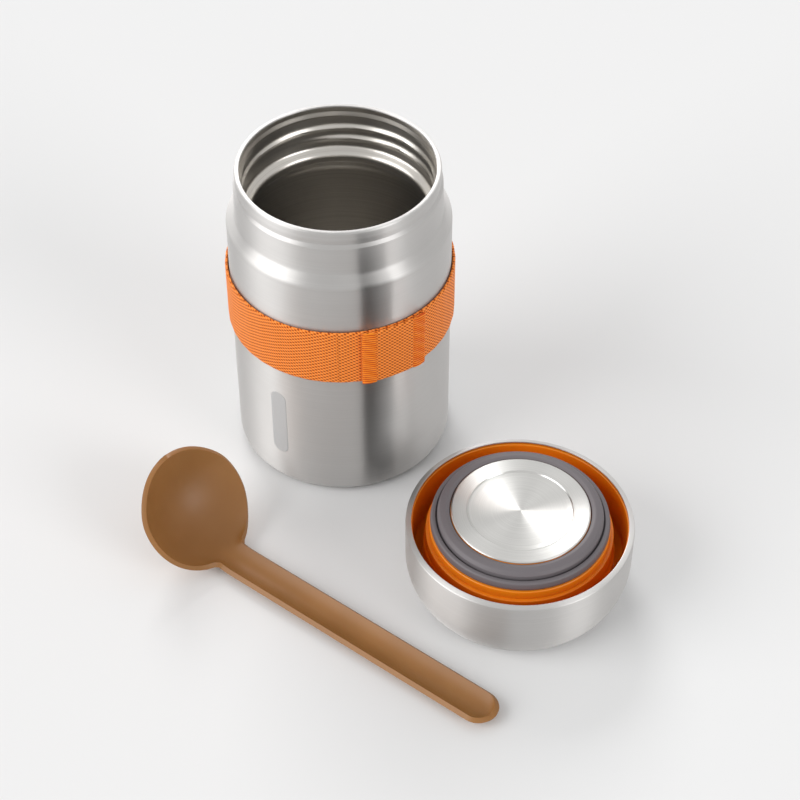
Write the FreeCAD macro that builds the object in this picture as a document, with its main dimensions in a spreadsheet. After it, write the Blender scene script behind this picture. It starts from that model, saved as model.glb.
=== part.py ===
import FreeCAD, Part
import math
import os
import Sketcher
from FreeCAD import Placement, Rotation, Vector

# Insulated food jar with its screw lid, elastic spoon strap and spoon.
# Millimetres, +Z up, origin at the middle of the jar's foot on the table.
# The lid lies upside down beside the jar, and the spoon lies in front of it.

doc = FreeCAD.newDocument("FoodJar")
sheet = doc.addObject("Spreadsheet::Sheet", "Sizes")


class Size:
    """A length that carries its number and the sheet formula it comes from."""

    def __init__(self, number, formula):
        self.number = number
        self.formula = formula

    def _join(self, other, sign, number):
        formula = other.formula if isinstance(other, Size) else repr(float(other))
        return Size(number, "(" + self.formula + " " + sign + " " + formula + ")")

    def __add__(self, other):
        return self._join(other, "+", self.number + value(other))

    def __sub__(self, other):
        return self._join(other, "-", self.number - value(other))

    def __mul__(self, other):
        return self._join(other, "*", self.number * value(other))

    def __truediv__(self, other):
        return self._join(other, "/", self.number / value(other))

    def root(self):
        """The square root, as a Size."""
        return Size(math.sqrt(self.number), "sqrt(" + self.formula + ")")


def value(length):
    """The plain number of a Size, or the number itself."""
    return length.number if isinstance(length, Size) else float(length)


def driving(alias, number):
    """One driving dimension: a cell of the sheet with a name."""
    driving.row += 1
    cell = "A" + str(driving.row)
    sheet.set(cell, str(number))
    sheet.setAlias(cell, alias)
    return Size(float(number), "Sizes." + alias)


driving.row = 0

# Body of the jar
body_radius = driving("body_radius", 42.0)
rim_height = driving("rim_height", 129.0)
steel = driving("steel_sheet", 0.6)
foot_round = driving("foot_round", 8.0)
foot_flat = driving("foot_flat", 1.6)
shoulder_height = driving("shoulder_height", 105.4)
shoulder_round = driving("shoulder_round", 3.0)
shoulder_slope = driving("shoulder_slope", 2.0)
neck_radius = driving("neck_radius", 38.5)
lip_radius = driving("lip_radius", 37.9)
lip_height = driving("lip_height", 6.2)
lip_round = driving("lip_round", 1.9)
bead_depth = driving("bead_depth", 0.45)
bead_rise = driving("bead_rise", 1.2)

# Inner vessel
mouth_radius = driving("mouth_radius", 36.0)
thread_depth = driving("thread_depth", 0.9)
thread_pitch = driving("thread_pitch", 5.0)
thread_drop = driving("thread_drop", 5.6)
ridge_half = driving("ridge_half", 1.3)
ledge_depth = driving("ledge_depth", 19.0)
throat_radius = driving("throat_radius", 32.8)
throat_drop = driving("throat_drop", 3.2)
throat_land = driving("throat_land", 1.6)
throat_flare = driving("throat_flare", 6.0)
vacuum_gap = driving("vacuum_gap", 3.0)
vessel_floor = driving("vessel_floor", 10.0)
vessel_round = driving("vessel_round", 9.0)
cup_height = driving("cup_height", 14.0)

# Closures of the base
base_recess = driving("base_recess", 1.6)
base_sheet = driving("base_sheet", 0.8)
seal_hole_radius = driving("seal_hole_radius", 2.0)
getter_radius = driving("getter_radius", 5.0)
getter_thick = driving("getter_thick", 1.6)
foil_thick = driving("foil_thick", 0.2)
button_radius = driving("button_radius", 3.2)
button_rise = driving("button_rise", 0.8)
cover_flange = driving("cover_flange", 1.8)
cover_slope = driving("cover_slope", 1.4)
cover_edge_rise = driving("cover_edge_rise", 0.6)
fit_gap = driving("fit_gap", 0.1)

# Elastic strap
strap_width = driving("strap_width", 25.0)
strap_bottom = driving("strap_bottom", 61.2)
strap_thick = driving("strap_thick", 1.2)
strap_gap = driving("strap_gap", 0.3)
tack_width = driving("tack_width", 5.2)
tack_thick = driving("tack_thick", 0.5)
tack_left_turn = driving("tack_left_turn", 14.8)
tack_right_turn = driving("tack_right_turn", 41.8)

# Lid, upside down
lid_east = driving("lid_east", 66.5)
lid_south = driving("lid_south", 85.9)
lid_height = driving("lid_height", 32.0)
lid_bevel = driving("lid_bevel", 2.1)
lid_bevel_rise = driving("lid_bevel_rise", 0.7)
dome_rise = driving("dome_rise", 17.0)
dome_round = driving("dome_round", 22.0)
crown_round = driving("crown_round", 8.0)
plastic = driving("plastic_wall", 1.6)
channel_floor = driving("channel_floor", 9.4)
channel_cut = driving("channel_cut", 3.0)
channel_round = driving("channel_round", 4.0)
lining_foot = driving("lining_foot", 5.7)
thread_start = driving("thread_start", 6.0)
neck_clearance = driving("neck_clearance", 1.0)
plug_radius = driving("plug_radius", 34.6)
plug_ledge = driving("plug_ledge", 28.0)
carrier_radius = driving("carrier_radius", 33.3)
carrier_thick = driving("carrier_thick", 3.6)
post_radius = driving("post_radius", 25.6)
plug_height = driving("plug_height", 38.6)
disc_stamp_radius = driving("disc_stamp_radius", 19.0)
disc_stamp_depth = driving("disc_stamp_depth", 0.5)
lid_pad_height = driving("lid_pad_height", 6.4)

# Silicone seal
seal_gap = driving("seal_gap", 0.3)
seal_lip_radius = driving("seal_lip_radius", 33.0)
seal_lip_thick = driving("seal_lip_thick", 3.4)
seal_band_radius = driving("seal_band_radius", 30.4)
seal_groove = driving("seal_groove", 0.6)
seal_groove_depth = driving("seal_groove_depth", 1.4)
seal_round = driving("seal_round", 2.2)

# Spoon
bowl_rim = driving("bowl_rim", 23.2)
bowl_depth = driving("bowl_depth", 11.5)
bowl_tilt = driving("bowl_tilt", 50.5)
spoon_wall = driving("spoon_wall", 1.9)
spoon_reach = driving("spoon_reach", 145.8)
neck_start = driving("neck_start", 11.0)
neck_end = driving("neck_end", 30.3)
grip_start = driving("grip_start", -22.6)
grip_end = driving("grip_end", -5.6)
handle_width = driving("handle_width", 15.5)
handle_sag = driving("handle_sag", 4.2)
spoon_turn = driving("spoon_turn", 37.35)
spoon_west = driving("spoon_west", 54.3)
spoon_south = driving("spoon_south", 68.3)
station_count = 34
cut_tolerance = 0.001
fine_facet = 0.01

doc.recompute()

parts = []


def origin_plane(body, role):
    """The body's own origin plane of that role."""
    return [f for f in body.Origin.OriginFeatures if f.Role == role][0]


def pin(sketch, geometry, point, length, across, label):
    """Fix one corner's distance from an axis, by its formula."""
    axis = -2 if across else -1
    if abs(value(length)) < 1e-9:
        sketch.addConstraint(Sketcher.Constraint("PointOnObject", geometry, point, axis))
        return
    kind = "DistanceX" if across else "DistanceY"
    index = sketch.addConstraint(
        Sketcher.Constraint(kind, -1, 1, geometry, point, value(length)))
    sketch.renameConstraint(index, label)
    if isinstance(length, Size):
        sketch.setExpression("Constraints." + label, length.formula)


def arc_through(start, end, radius, left):
    """The circle arc of a radius from start to end, bulging to one side."""
    chord = end - start
    half = chord.Length / 2
    rise = math.sqrt(max(radius * radius - half * half, 0.0))
    normal = Vector(-chord.y, chord.x, 0).normalize()
    middle = start + chord * 0.5
    centre = middle + normal * (rise if left else -rise)
    first = math.atan2(start.y - centre.y, start.x - centre.x)
    last = math.atan2(end.y - centre.y, end.x - centre.x)
    if not left:
        first, last = last, first
    circle = Part.Circle(centre, Vector(0, 0, 1), radius)
    if last < first:
        last += 2 * math.pi
    return Part.ArcOfCircle(circle, first, last)


def outline(body, name, corners):
    """A closed sketch on the XZ plane through corners (radius, height).

    A corner may carry an arc to the next corner: (radius, height, arc radius, left).
    """
    sketch = body.newObject("Sketcher::SketchObject", name)
    sketch.AttachmentSupport = [(origin_plane(body, "XZ_Plane"), "")]
    sketch.MapMode = "FlatFace"
    count = len(corners)
    spots = [Vector(value(c[0]), value(c[1]), 0) for c in corners]
    starts = []
    for i, corner in enumerate(corners):
        here, there = spots[i], spots[(i + 1) % count]
        if len(corner) == 4:
            left = corner[3]
            shape = arc_through(here, there, value(corner[2]), left)
            starts.append((1, 2) if left else (2, 1))
        else:
            shape = Part.LineSegment(here, there)
            starts.append((1, 2))
        sketch.addGeometry(shape, False)
    for i in range(count):
        j = (i + 1) % count
        sketch.addConstraint(
            Sketcher.Constraint("Coincident", i, starts[i][1], j, starts[j][0]))
    for i, corner in enumerate(corners):
        pin(sketch, i, starts[i][0], corner[0], True, "r" + str(i))
        pin(sketch, i, starts[i][0], corner[1], False, "z" + str(i))
        if len(corner) == 4:
            index = sketch.addConstraint(
                Sketcher.Constraint("Radius", i, value(corner[2])))
            sketch.renameConstraint(index, "arc" + str(i))
            sketch.setExpression("Constraints.arc" + str(i), corner[2].formula)
    return sketch


def turned(name, corners, east=None, south=None):
    """A turned piece: an outline spun about the piece's own upright axis."""
    body = doc.addObject("PartDesign::Body", name)
    body.Label = name
    sketch = outline(body, name + "_outline", corners)
    spin = body.newObject("PartDesign::Revolution", name + "_spin")
    spin.Profile = sketch
    spin.ReferenceAxis = (sketch, ["V_Axis"])
    spin.Angle = 360.0
    if east is not None:
        body.setExpression("Placement.Base.x", east.formula)
        body.setExpression("Placement.Base.y", "-" + south.formula)
    parts.append(body)
    return body


def quarter(piece, centre_turn, half_turn):
    """Turn and trim angles for a piece that is only part of a ring."""
    spin = [o for o in piece.Group if o.TypeId == "PartDesign::Revolution"][0]
    spin.setExpression("Angle", half_turn.formula + " * 2")
    piece.Placement.Rotation = Rotation(Vector(0, 0, 1), 0)
    piece.setExpression("Placement.Rotation.Axis.z", "1")
    piece.setExpression("Placement.Rotation.Angle",
                        "-90 deg + (" + (centre_turn - half_turn).formula + ") * 1 deg")


# Outer shell: rounded foot, straight wall, sloped shoulder, neck with a bead, rolled lip
skin_in = body_radius - steel
foot_in = body_radius - foot_round - foot_flat
diagonal = math.sqrt(0.5)
shoulder_cut = shoulder_round * (1 - diagonal)
shoulder_up = shoulder_round * diagonal
slope_top_r = body_radius - shoulder_cut - shoulder_slope
slope_top_z = shoulder_height + shoulder_up + shoulder_slope
neck_foot = slope_top_z + shoulder_slope * diagonal
lip_bottom = rim_height - lip_height
bead_top = lip_bottom + bead_rise
turned("outer_shell", [
    (foot_in, 0),
    (body_radius - foot_round, 0, foot_round, True),
    (body_radius, foot_round),
    (body_radius, shoulder_height, shoulder_round, True),
    (body_radius - shoulder_cut, shoulder_height + shoulder_up),
    (slope_top_r, slope_top_z, shoulder_slope, False),
    (neck_radius, neck_foot),
    (neck_radius, lip_bottom),
    (lip_radius - bead_depth, bead_top),
    (lip_radius, bead_top + bead_depth * 2),
    (lip_radius, rim_height - lip_round, lip_round, True),
    (lip_radius - lip_round, rim_height),
    (lip_radius - lip_round, rim_height - steel),
    (mouth_radius + steel + fit_gap, rim_height - steel),
    (mouth_radius + steel + fit_gap, rim_height - lip_round - steel),
    (lip_radius - bead_depth - steel, bead_top),
    (neck_radius - steel, lip_bottom - steel),
    (neck_radius - steel, neck_foot),
    (slope_top_r - steel * diagonal, slope_top_z - steel * diagonal),
    (body_radius - shoulder_cut - steel * diagonal, shoulder_height + shoulder_up - steel * diagonal),
    (skin_in, shoulder_height),
    (skin_in, foot_round, foot_round - steel, False),
    (body_radius - foot_round, steel),
    (foot_in, steel),
])

# Inner vessel: threaded mouth, seat ledge, throat and the wide wall of the food space
vessel_radius = body_radius - steel * 2 - vacuum_gap
ledge_top = rim_height - ledge_depth
throat_top = ledge_top - throat_drop
land_end = throat_top - throat_land
flare_end = land_end - throat_flare
inner_top = rim_height - steel
first_ridge = rim_height - thread_drop
second_ridge = first_ridge - thread_pitch
ridge = mouth_radius - thread_depth
turned("inner_vessel", [
    (mouth_radius, inner_top),
    (mouth_radius, first_ridge + ridge_half),
    (ridge, first_ridge),
    (mouth_radius, first_ridge - ridge_half),
    (mouth_radius, second_ridge + ridge_half),
    (ridge, second_ridge),
    (mouth_radius, second_ridge - ridge_half),
    (mouth_radius, ledge_top, throat_drop, False),
    (throat_radius, throat_top),
    (throat_radius, land_end, throat_flare, True),
    (vessel_radius, flare_end),
    (vessel_radius, cup_height + vessel_floor),
    (vessel_radius + steel, cup_height + vessel_floor),
    (vessel_radius + steel, flare_end + steel, throat_flare, False),
    (throat_radius + steel, land_end + steel),
    (throat_radius + steel, throat_top - steel, throat_drop, True),
    (mouth_radius + steel, ledge_top - steel),
    (mouth_radius + steel, inner_top),
])

# Drawn cup that closes the food space, welded to the vessel's lower edge
cup_top = cup_height + vessel_floor
turned("inner_bottom", [
    (0, vessel_floor),
    (vessel_radius - vessel_round, vessel_floor, vessel_round, True),
    (vessel_radius, vessel_floor + vessel_round),
    (vessel_radius, cup_top),
    (vessel_radius + steel, cup_top),
    (vessel_radius + steel, vessel_floor + vessel_round, vessel_round + steel, False),
    (vessel_radius - vessel_round, vessel_floor - steel),
    (0, vessel_floor - steel),
])

# Foil that turns back heat, wrapped round the food space inside the vacuum
foil_in = vessel_radius + steel + fit_gap
foil_out = foil_in + foil_thick
foil_top = flare_end - throat_land
turned("heat_foil", [
    (foil_in, cup_top),
    (foil_out, cup_top),
    (foil_out, foil_top),
    (foil_in, foil_top),
])

# Pressed disc that closes the vacuum, with the hole that the seal stops
closing_radius = foot_in - fit_gap
closing_low = base_recess + base_sheet + fit_gap
turned("outer_bottom", [
    (seal_hole_radius, closing_low),
    (closing_radius - base_recess, closing_low),
    (closing_radius, closing_low - base_recess),
    (closing_radius + steel * 2, closing_low - base_recess + steel),
    (closing_radius - steel, closing_low + steel),
    (seal_hole_radius, closing_low + steel),
])

# Solder button that seals the pumping hole
turned("vacuum_seal", [
    (0, closing_low + fit_gap),
    (seal_hole_radius - fit_gap, closing_low + fit_gap),
    (seal_hole_radius - fit_gap, closing_low + steel),
    (button_radius, closing_low + steel),
    (seal_hole_radius, closing_low + steel + button_rise),
    (0, closing_low + steel + button_rise),
])

# Polished cover plate of the base, set into the foot
cover_radius = closing_radius - fit_gap - steel
cover_bend = cover_radius - cover_flange
cover_flat = cover_bend - cover_slope
flange_top = cover_edge_rise + base_sheet * diagonal
turned("base_cover", [
    (0, base_recess),
    (cover_flat, base_recess),
    (cover_bend, cover_edge_rise),
    (cover_radius, cover_edge_rise),
    (cover_radius, flange_top),
    (cover_bend + fit_gap, flange_top),
    (cover_flat + fit_gap, base_recess + base_sheet),
    (0, base_recess + base_sheet),
])


def off_centre(name, corners, shift):
    """A turned piece set beside the jar's axis, east of it by a length."""
    body = turned(name, corners)
    body.setExpression("Placement.Base.x", shift.formula)
    return body


# Getter pill and the spring clip that holds it on the closing disc
getter_east = closing_radius / 2
getter_low = closing_low + steel
off_centre("getter_clip", [
    (getter_radius + fit_gap, getter_low),
    (getter_radius + steel + fit_gap, getter_low),
    (getter_radius + steel + fit_gap, getter_low + getter_thick),
    (getter_radius + fit_gap, getter_low + getter_thick),
], getter_east)
off_centre("getter_pill", [
    (0, getter_low),
    (getter_radius, getter_low),
    (getter_radius, getter_low + getter_thick),
    (0, getter_low + getter_thick),
], getter_east)

# Strap: one round of webbing, with a second layer between two bar tacks as the spoon's loop
strap_in = body_radius + strap_gap
strap_out = strap_in + strap_thick
strap_top = strap_bottom + strap_width
turned("strap_band", [
    (strap_in, strap_bottom),
    (strap_out, strap_bottom),
    (strap_out, strap_top),
    (strap_in, strap_top),
])
loop_in = strap_out
loop_out = loop_in + strap_thick
tack_out = loop_out + tack_thick
half_tack_turn = tack_width / (body_radius * 2) * (180 / math.pi)
loop_middle = (tack_left_turn + tack_right_turn) / 2
loop_half = (tack_right_turn - tack_left_turn) / 2 + half_tack_turn
quarter(turned("strap_loop", [
    (loop_in, strap_bottom),
    (loop_out, strap_bottom),
    (loop_out, strap_top),
    (loop_in, strap_top),
]), loop_middle, loop_half)
for side, turn in (("left", tack_left_turn), ("right", tack_right_turn)):
    quarter(turned("bar_tack_" + side, [
        (loop_out, strap_bottom),
        (tack_out, strap_bottom),
        (tack_out, strap_top),
        (loop_out, strap_top),
    ]), turn, half_tack_turn)


def on_lid(name, corners):
    """A turned piece about the lid's axis."""
    return turned(name, corners, lid_east, lid_south)


# Lid shell: flat crown on the table, edge of two tangent arcs, straight skirt, turned-in rim
round_gap = dome_round - crown_round
centre_rise = dome_rise - crown_round
crown_flat = (body_radius - dome_round
              + (round_gap * round_gap - centre_rise * centre_rise).root())
join_east = (crown_flat - body_radius + dome_round) / round_gap
join_down = centre_rise / round_gap


def arcs_join(radius):
    """Where the crown's arc of that radius runs into the dome's."""
    return crown_flat + join_east * radius, crown_round - join_down * radius


join_out = arcs_join(crown_round)
join_in = arcs_join(crown_round - steel)
on_lid("lid_shell", [
    (0, 0),
    (crown_flat, 0, crown_round, True),
    (*join_out, dome_round, True),
    (body_radius, dome_rise),
    (body_radius, lid_height),
    (body_radius - lid_bevel, lid_height + lid_bevel_rise),
    (body_radius - lid_bevel, lid_height + lid_bevel_rise - steel),
    (skin_in, lid_height - steel),
    (skin_in, dome_rise, dome_round - steel, False),
    (*join_in, crown_round - steel, False),
    (crown_flat, steel),
    (0, steel),
])

# Lid liner: skirt lining, channel for the neck and the threaded plug wall
liner_out = skin_in - fit_gap
liner_in = neck_radius + neck_clearance
liner_top = lid_height - steel - fit_gap
plug_in = plug_radius - plastic
lining_round = dome_rise - crown_round + lining_foot
plug_thread = plug_radius + thread_depth
thread_low = channel_floor + thread_start
thread_high = thread_low + thread_pitch
on_lid("lid_liner", [
    (plug_in, channel_floor - plastic),
    (liner_out - lining_foot, channel_floor - plastic, lining_round, True),
    (liner_out, dome_rise),
    (liner_out, liner_top),
    (liner_in, liner_top),
    (liner_in, channel_floor + channel_round, channel_round, False),
    (liner_in - channel_cut, channel_floor),
    (plug_radius, channel_floor),
    (plug_radius, thread_low - ridge_half),
    (plug_thread, thread_low),
    (plug_radius, thread_low + ridge_half),
    (plug_radius, thread_high - ridge_half),
    (plug_thread, thread_high),
    (plug_radius, thread_high + ridge_half),
    (plug_radius, plug_ledge),
    (plug_in, plug_ledge),
])

# Plug carrier: ring on the plug wall, with the post that the seal is pressed over
carrier_top = plug_ledge + carrier_thick
disc_seat = plug_height - steel
stamp_slope = disc_stamp_depth / 2
on_lid("plug_carrier", [
    (post_radius - plastic, plug_ledge),
    (carrier_radius, plug_ledge),
    (carrier_radius, carrier_top),
    (post_radius, carrier_top),
    (post_radius, disc_seat),
    (post_radius - plastic, disc_seat),
])

# Steel disc on the plug's end, with a round stamped recess
on_lid("plug_disc", [
    (0, disc_seat - disc_stamp_depth),
    (disc_stamp_radius, disc_seat - disc_stamp_depth),
    (disc_stamp_radius + disc_stamp_depth, disc_seat),
    (post_radius, disc_seat),
    (post_radius, plug_height),
    (disc_stamp_radius + stamp_slope, plug_height),
    (disc_stamp_radius - stamp_slope, plug_height - disc_stamp_depth),
    (0, plug_height - disc_stamp_depth),
])

# Insulating foam in the plug, and the pad between it and the crown
plug_pad_top = disc_seat - disc_stamp_depth - fit_gap
on_lid("plug_foam", [
    (0, lid_pad_height + fit_gap),
    (plug_in - fit_gap, lid_pad_height + fit_gap),
    (plug_in - fit_gap, plug_ledge - fit_gap),
    (post_radius - plastic - fit_gap, plug_ledge - fit_gap),
    (post_radius - plastic - fit_gap, plug_pad_top - stamp_slope),
    (disc_stamp_radius - fit_gap, plug_pad_top),
    (0, plug_pad_top),
])
on_lid("lid_pad", [
    (0, steel + fit_gap),
    (crown_flat - steel, steel + fit_gap),
    (crown_flat + plastic, lid_pad_height),
    (0, lid_pad_height),
])

# Silicone seal: broad lower lip, groove, and the rounded band beside the disc
seal_in = post_radius + seal_gap
seal_low = carrier_top + seal_gap
seal_lip_top = seal_low + seal_lip_thick
on_lid("seal_ring", [
    (seal_in, seal_low),
    (seal_lip_radius - seal_groove, seal_low),
    (seal_lip_radius, seal_low + seal_groove),
    (seal_lip_radius, seal_lip_top - seal_groove),
    (seal_lip_radius - seal_groove, seal_lip_top),
    (seal_band_radius + seal_groove, seal_lip_top),
    (seal_band_radius + seal_groove, seal_lip_top - seal_groove_depth),
    (seal_band_radius, seal_lip_top - seal_groove_depth),
    (seal_band_radius, plug_height - seal_round, seal_round, True),
    (seal_band_radius - seal_round, plug_height),
    (seal_in, plug_height),
])


def eased(length, start, end):
    """A smooth step from 0 at start to 1 at end."""
    share = min(max((length - start) / (end - start), 0.0), 1.0)
    return share * share * (3 - 2 * share)


def spoon_profile(length, inset):
    """Half width and sag of the spoon's section at a length along it, moved in by an inset.

    The bowl is a round dish and the handle a shallow gutter with a round end; the two run
    into each other as the sides of a right triangle do.
    """
    rim, deep = value(bowl_rim) - inset, value(bowl_depth) - inset
    grip = eased(length, value(grip_start), value(grip_end))
    half = (value(handle_width) / 2 - inset) * grip
    gutter = (value(handle_sag) - inset) * grip
    inside = max(1 - (length / rim) ** 2, 0.0)
    end_round = value(handle_width) / 2 - inset
    past = (length - (value(spoon_reach) - inset - end_round)) / end_round
    end_share = math.sqrt(max(1 - max(past, 0.0) ** 2, 0.0))
    width = math.hypot(rim * math.sqrt(inside), half) * end_share
    sag = math.hypot(deep * inside, gutter) * end_share
    return width, sag


def spoon_loft(inset, above):
    """A dish-shaped solid along the spoon: its sections hang below the rim line.

    The rim line starts tilted at the bowl and levels out over the neck. With above, the
    sections also stand that far over the rim line, to cut the hollow open.
    """
    first, last = -value(bowl_rim) + inset, value(spoon_reach) - inset
    tilt_full = math.radians(value(bowl_tilt))
    spots = [first + (last - first) * (1 - math.cos(math.pi * i / station_count)) / 2
             for i in range(station_count + 1)]
    middle = rim_line_place(0.0, tilt_full)
    wires = []
    for length in spots:
        inner_length = min(max(length, first + 0.02), last - 0.02)
        width, sag = spoon_profile(inner_length, inset)
        tilt = tilt_full * (1 - eased(length, value(neck_start), value(neck_end)))
        place = rim_line_place(length, tilt_full) - middle
        up = Vector(math.sin(tilt), 0, math.cos(tilt))
        side = Vector(0, width, 0)
        wires.append(dish_section(place, side, up, sag, above))
    return Part.makeLoft(wires, True, True)


def rim_line_place(length, tilt_full, step=0.25):
    """The rim line's point at a length, summed up in short steps along its tilt."""
    start = -value(bowl_rim)
    count = max(int(round((length - start) / step)), 1)
    stride = (length - start) / count
    east = height = 0.0
    for i in range(count):
        at = start + stride * (i + 0.5)
        tilt = tilt_full * (1 - eased(at, value(neck_start), value(neck_end)))
        east += stride * math.cos(tilt)
        height -= stride * math.sin(tilt)
    return Vector(east, 0, height)


def dish_section(place, side, up, sag, above):
    """One closed section: an arc hanging from the rim line, and a lid line or box over it."""
    left, right, low = place - side, place + side, place - up * sag
    edges = [Part.Arc(left, low, right).toShape()]
    if above:
        lift = up * above
        edges.append(Part.LineSegment(right, right + lift).toShape())
        edges.append(Part.LineSegment(right + lift, left + lift).toShape())
        edges.append(Part.LineSegment(left + lift, left).toShape())
    else:
        edges.append(Part.LineSegment(right, left).toShape())
    return Part.Wire(edges)


def spoon_solid():
    """The spoon along its own X axis: the dish less its hollow."""
    wall = value(spoon_wall)
    return spoon_loft(0.0, 0.0).cut((spoon_loft(wall, wall * 2),), cut_tolerance)


spoon = doc.addObject("Part::Feature", "spoon")
spoon.Label = "spoon"
spoon.Shape = spoon_solid()
keel = min(point.z for point in spoon.Shape.tessellate(fine_facet)[0])
spoon.Placement = Placement(
    Vector(-value(spoon_west), -value(spoon_south), -keel),
    Rotation(Vector(0, 0, 1), -value(spoon_turn)))
parts.append(spoon)

doc.recompute()

for item in doc.Objects:
    if "Invalid" in item.State or "Error" in item.State:
        raise RuntimeError(item.Name + " did not build: " + str(item.State))
os.makedirs("parts", exist_ok=True)
for part in parts:
    shape = part.Shape
    if shape.isNull() or not shape.isValid() or not shape.Solids:
        raise RuntimeError(part.Label + " has no valid solid")
    shape.exportStep("parts/" + part.Label + ".step")
    print(part.Label, "solids", len(shape.Solids), "volume", round(shape.Volume, 1))
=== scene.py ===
"""Insulated food jar with its lid, strap and spoon, dressed for the studio.

Sizes are real millimetres; every mesh is written in metres in the frame's own place.
"""
import logging
import math
from dataclasses import dataclass
from enum import Enum
from typing import Callable

import bmesh
import bpy
import numpy as np
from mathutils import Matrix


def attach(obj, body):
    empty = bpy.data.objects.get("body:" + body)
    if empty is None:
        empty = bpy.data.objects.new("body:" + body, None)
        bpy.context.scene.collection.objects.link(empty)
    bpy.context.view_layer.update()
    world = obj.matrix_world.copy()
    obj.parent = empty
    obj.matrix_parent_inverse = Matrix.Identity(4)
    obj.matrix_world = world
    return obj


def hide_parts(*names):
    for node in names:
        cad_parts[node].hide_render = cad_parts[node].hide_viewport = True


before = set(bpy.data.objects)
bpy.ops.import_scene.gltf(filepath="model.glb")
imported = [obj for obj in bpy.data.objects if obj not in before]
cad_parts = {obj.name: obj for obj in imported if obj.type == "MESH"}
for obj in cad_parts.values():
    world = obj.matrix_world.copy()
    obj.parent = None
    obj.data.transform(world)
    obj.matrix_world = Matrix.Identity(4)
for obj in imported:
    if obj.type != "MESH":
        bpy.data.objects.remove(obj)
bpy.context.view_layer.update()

MM = 0.001
LOG = logging.getLogger("food_jar")
TURN = 2 * math.pi
# The corners of a grid cell, in turn
CELL = (np.s_[:-1, :-1], np.s_[1:, :-1], np.s_[1:, 1:], np.s_[:-1, 1:])
# A radius to add, from arrays of angle, radius and height
Wave = Callable[[np.ndarray, np.ndarray, np.ndarray], np.ndarray]
Corner = tuple[float, float, float]


class Body(Enum):
    """The moving bodies that pieces ride on."""

    JAR = "jar"
    STRAP = "strap"
    LID = "lid"
    SEAL = "seal"
    SPOON = "spoon"


class Spin(Enum):
    """Which way the last polish ran on a turned steel piece."""

    AROUND = "around"
    NONE = "none"


def linear(hex_colour: str) -> tuple[float, float, float, float]:
    """Turn an sRGB hex colour into Blender's linear colour.

    Args:
        hex_colour: six hex digits, such as "c9c8c6".

    Returns:
        Red, green, blue and an alpha of one.
    """
    parts = [int(hex_colour[i:i + 2], 16) / 255 for i in (0, 2, 4)]
    flat = [p / 12.92 if p <= 0.04045 else ((p + 0.055) / 1.055) ** 2.4 for p in parts]
    return (flat[0], flat[1], flat[2], 1.0)


def add_node(tree: bpy.types.NodeTree, kind: str, settings: dict | None = None,
             links: dict | None = None) -> bpy.types.Node:
    """Add one shader node with its settings and its incoming links.

    Args:
        tree: the material's node tree.
        kind: the node's type name without the word ShaderNode.
        settings: attribute names or input names to values.
        links: input names or numbers to output sockets.

    Returns:
        The new node.
    """
    node = tree.nodes.new("ShaderNode" + kind)
    for name, setting in (settings or {}).items():
        if isinstance(name, str) and hasattr(node, name):
            setattr(node, name, setting)
        else:
            node.inputs[name].default_value = setting
    for name, socket in (links or {}).items():
        tree.links.new(socket, node.inputs[name])
    return node


def new_tree(name: str) -> tuple[bpy.types.Material, bpy.types.NodeTree]:
    """An empty node material and its tree."""
    material = bpy.data.materials.new(name)
    material.use_nodes = True
    material.node_tree.nodes.clear()
    return material, material.node_tree


def colour_ramp(tree: bpy.types.NodeTree, factor: bpy.types.NodeSocket,
                stops: list[tuple[float, str]]) -> bpy.types.NodeSocket:
    """A colour ramp from (position, hex) stops, read by a factor.

    Args:
        tree: the material's node tree.
        factor: the socket that picks the colour.
        stops: places from 0 to 1 with their hex colours.

    Returns:
        The ramp's colour socket.
    """
    node = add_node(tree, "ValToRGB", links={"Fac": factor})
    ramp = node.color_ramp
    while len(ramp.elements) < len(stops):
        ramp.elements.new(0.5)
    for element, (place, hex_colour) in zip(ramp.elements, stops):
        element.position = place
        element.color = linear(hex_colour)
    return node.outputs["Color"]


def mottle(tree: bpy.types.NodeTree, place: bpy.types.NodeSocket, size_mm: float,
           detail: float = 2.0) -> bpy.types.NodeSocket:
    """A noise whose blots are about as wide as a size.

    Args:
        tree: the material's node tree.
        place: the coordinates in metres.
        size_mm: the blots' width.
        detail: how many finer layers lie on them.

    Returns:
        The noise, from 0 to 1.
    """
    node = add_node(tree, "TexNoise", {"Scale": 1 / (size_mm * MM), "Detail": detail},
                    {"Vector": place})
    return node.outputs["Fac"]


def sine_wave(tree: bpy.types.NodeTree, way: bpy.types.NodeSocket,
              pitch_mm: float) -> bpy.types.NodeSocket:
    """A sine with a pitch in millimetres along a way in metres."""
    turn = add_node(tree, "Math", {"operation": "MULTIPLY", 1: TURN / (pitch_mm * MM)}, {0: way})
    return add_node(tree, "Math", {"operation": "SINE"}, {0: turn.outputs[0]}).outputs[0]


def gloss_range(tree: bpy.types.NodeTree, factor: bpy.types.NodeSocket, roughness: float,
                spread: tuple[float, float]) -> bpy.types.NodeSocket:
    """A roughness that a factor moves between two shares of its middle value.

    Args:
        tree: the material's node tree.
        factor: from 0 to 1.
        roughness: the middle value.
        spread: the smallest and largest share.

    Returns:
        The roughness socket.
    """
    node = add_node(tree, "MapRange", {"To Min": roughness * spread[0],
                                       "To Max": roughness * spread[1]}, {"Value": factor})
    return node.outputs["Result"]


def finish_tree(tree: bpy.types.NodeTree, shader: bpy.types.Node) -> None:
    """Send a shader to the material's surface."""
    add_node(tree, "OutputMaterial", links={"Surface": shader.outputs["BSDF"]})


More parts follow.
